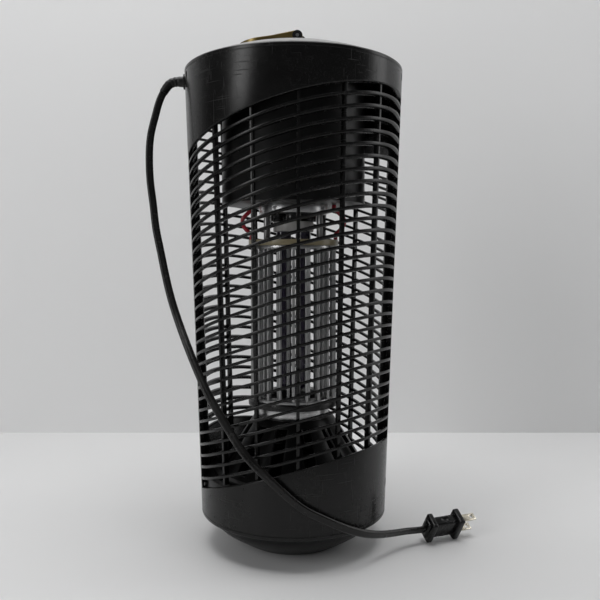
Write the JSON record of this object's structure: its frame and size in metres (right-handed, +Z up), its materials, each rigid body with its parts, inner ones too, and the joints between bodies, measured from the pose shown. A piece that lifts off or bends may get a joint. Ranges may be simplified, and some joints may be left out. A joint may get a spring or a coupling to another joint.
{
  "type": "electric bug zapper",
  "caption": "Hanging electric insect zapper: slatted tapered lantern body, domed cover with a folding loop handle, grid round a UV lamp, twist-off tray, cord and plug.",
  "frame": {"origin": "centre of the tray's foot, on the surface it stands on", "axes": "+Z up along the body's axis, -Y the pictured front, the cord leaves towards -X"},
  "size_m": [0.289, 0.1908, 0.4382],
  "materials": {
    "shell_plastic": "fine-textured satin black",
    "screw_steel": "satin",
    "cover_plastic": "smooth light grey",
    "handle_strap": "yellow passivated, dark at the edges",
    "inner_plastic": "satin black",
    "tray_plastic": "satin black",
    "core_iron": "varnished laminations",
    "coil_copper": "varnished winding",
    "capacitor_case": "smooth",
    "white_plastic": "smooth off-white",
    "plate_aluminium": "satin",
    "socket_plastic": "glossy black",
    "lamp_glass": "dark violet filter glass",
    "insulator_cream": "smooth cream",
    "insulator_dark": "smooth",
    "grid_steel": "plated",
    "red_sleeve": "smooth red silicone",
    "gland_rubber": "satin",
    "cord_jacket": "satin",
    "plug_rubber": "satin, moulded",
    "blade_brass": "nickel-plated"
  },
  "bodies": {
    "housing": {"front_shell": "shell_plastic", "rear_shell": "shell_plastic", "shell_screws": "screw_steel", "top_cover": "cover_plastic", "cover_screws": "screw_steel", "handle_lugs": "shell_plastic", "handle_pins": "screw_steel", "ballast_housing": "inner_plastic", "ballast_core": "core_iron", "ballast_coil": "coil_copper", "hv_capacitor": "capacitor_case", "terminal_block": "white_plastic", "upper_plate": "plate_aluminium", "plate_screws": "screw_steel", "lamp_socket": "socket_plastic", "lamp_base": "white_plastic", "uv_lamp": "lamp_glass", "grid_posts": "plate_aluminium", "upper_insulator": "insulator_cream", "outer_grid_hoops": "grid_steel", "outer_grid_rods": "grid_steel", "inner_grid_hoops": "grid_steel", "inner_grid_rods": "grid_steel", "lower_insulator": "insulator_dark", "lower_plate": "plate_aluminium", "catch_funnel": "inner_plastic", "tray_collar": "inner_plastic", "hv_leads": "red_sleeve", "cord_gland": "gland_rubber", "strain_relief": "gland_rubber", "power_cord": "cord_jacket", "plug_body": "plug_rubber", "plug_blades": "blade_brass"},
    "handle": {"carry_handle": "handle_strap"},
    "tray": {"collection_tray": "tray_plastic"}
  },
  "joints": [
    {"name": "handle_swing", "type": "hinge", "parent": "housing", "child": "handle", "pos_m": [0.0033, 0, 0.4337], "axis": [0, 1, 0], "range_deg": [0, 190]},
    {"name": "tray_twist", "type": "hinge", "parent": "housing", "child": "tray", "pos_m": [0, 0, 0.03], "axis": [0, 0, 1], "range_deg": [0, 30]}
  ]
}
